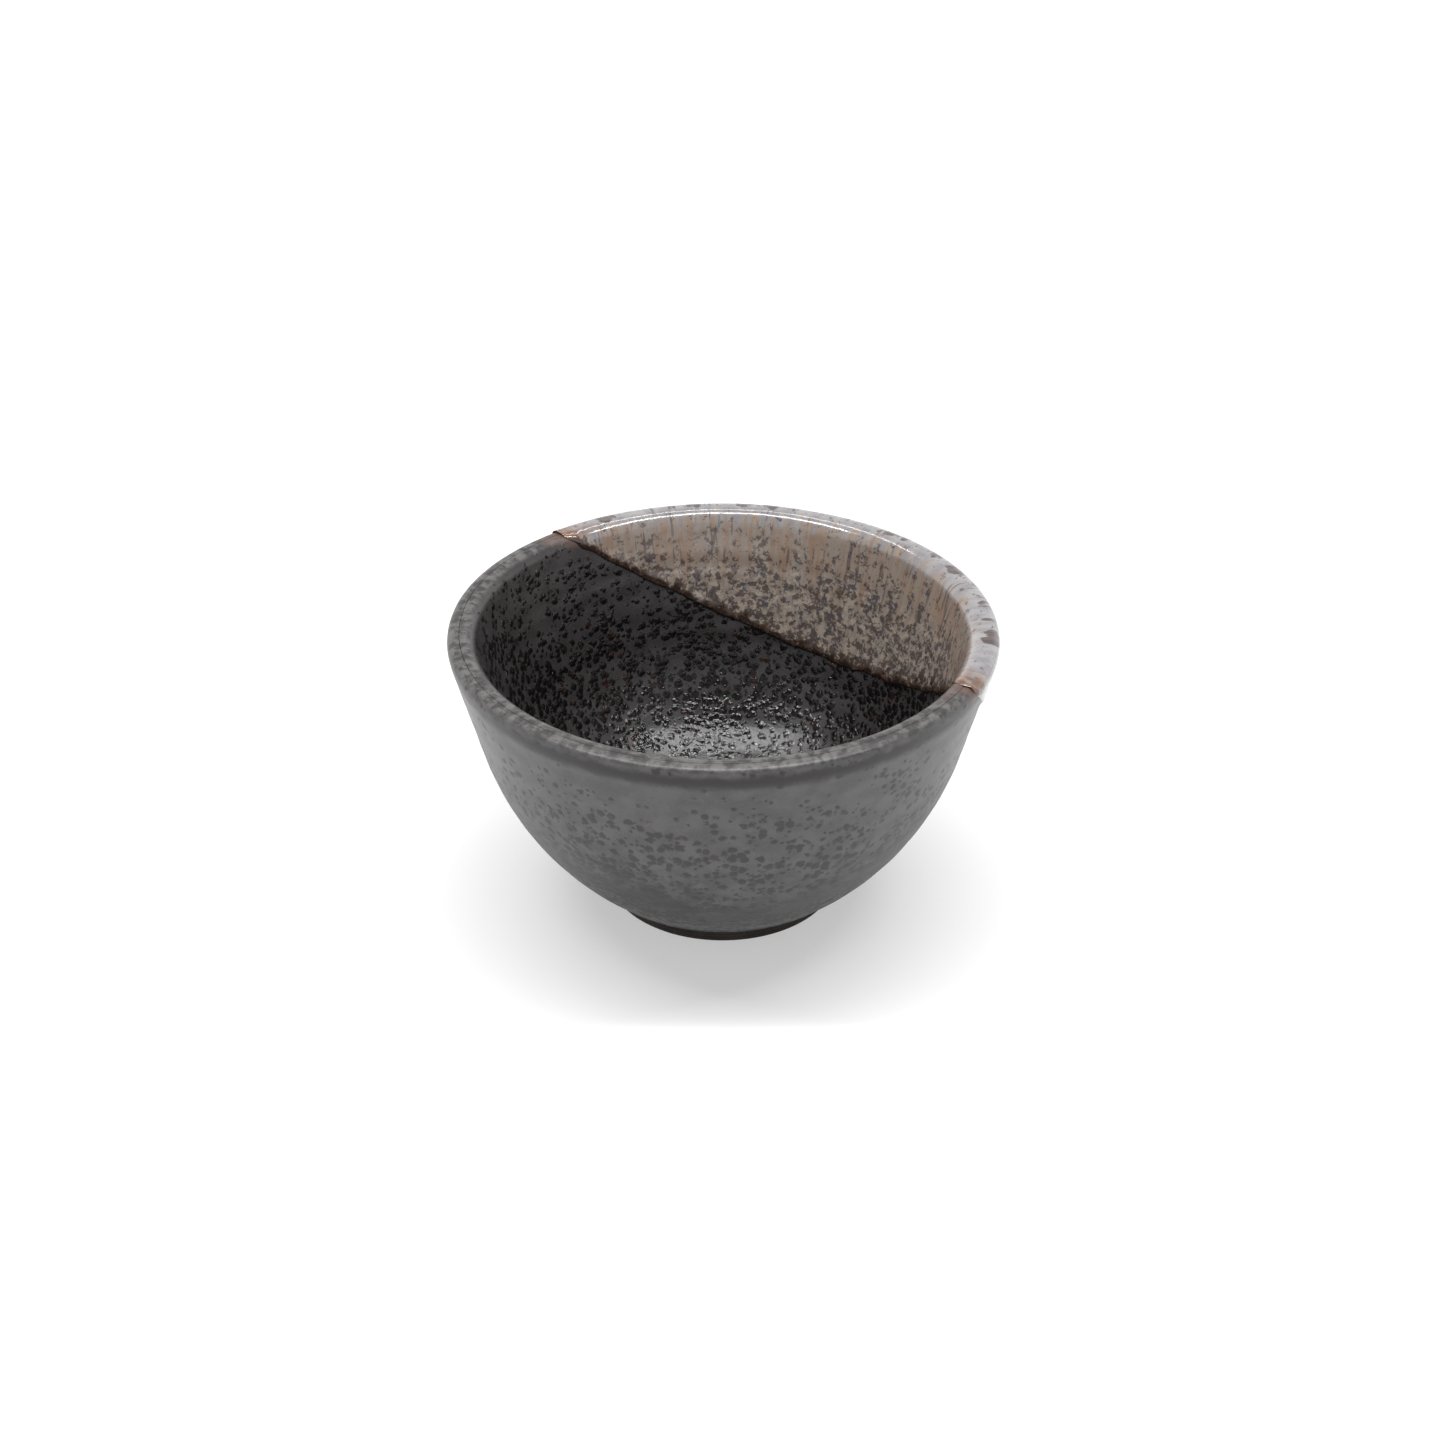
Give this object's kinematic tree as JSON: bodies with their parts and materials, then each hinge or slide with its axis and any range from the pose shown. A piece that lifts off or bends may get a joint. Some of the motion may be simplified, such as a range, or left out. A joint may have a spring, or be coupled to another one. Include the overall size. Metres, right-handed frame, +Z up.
{
  "type": "matcha bowl",
  "caption": "Round stoneware tea bowl with flared walls and a trimmed foot ring, dark glaze all over and a cream glaze poured over one side of the lip.",
  "frame": {"origin": "centre of the face that the foot ring stands on", "axes": "+Z up out of the mouth; the bowl was dipped in the cream glaze towards +X and +Y, and the bare dark side faces -Y"},
  "size_m": [0.1203, 0.1203, 0.0668],
  "materials": {
    "clay": "unglazed dark brown stoneware",
    "dark_glaze": "satin charcoal glaze with glossy black-brown spots",
    "cream_glaze": "glossy cream and beige glaze that breaks to rust at its edge"
  },
  "bodies": {
    "root": {"clay_body": "clay", "dark_glaze": "dark_glaze", "cream_glaze": "cream_glaze"}
  },
  "joints": []
}
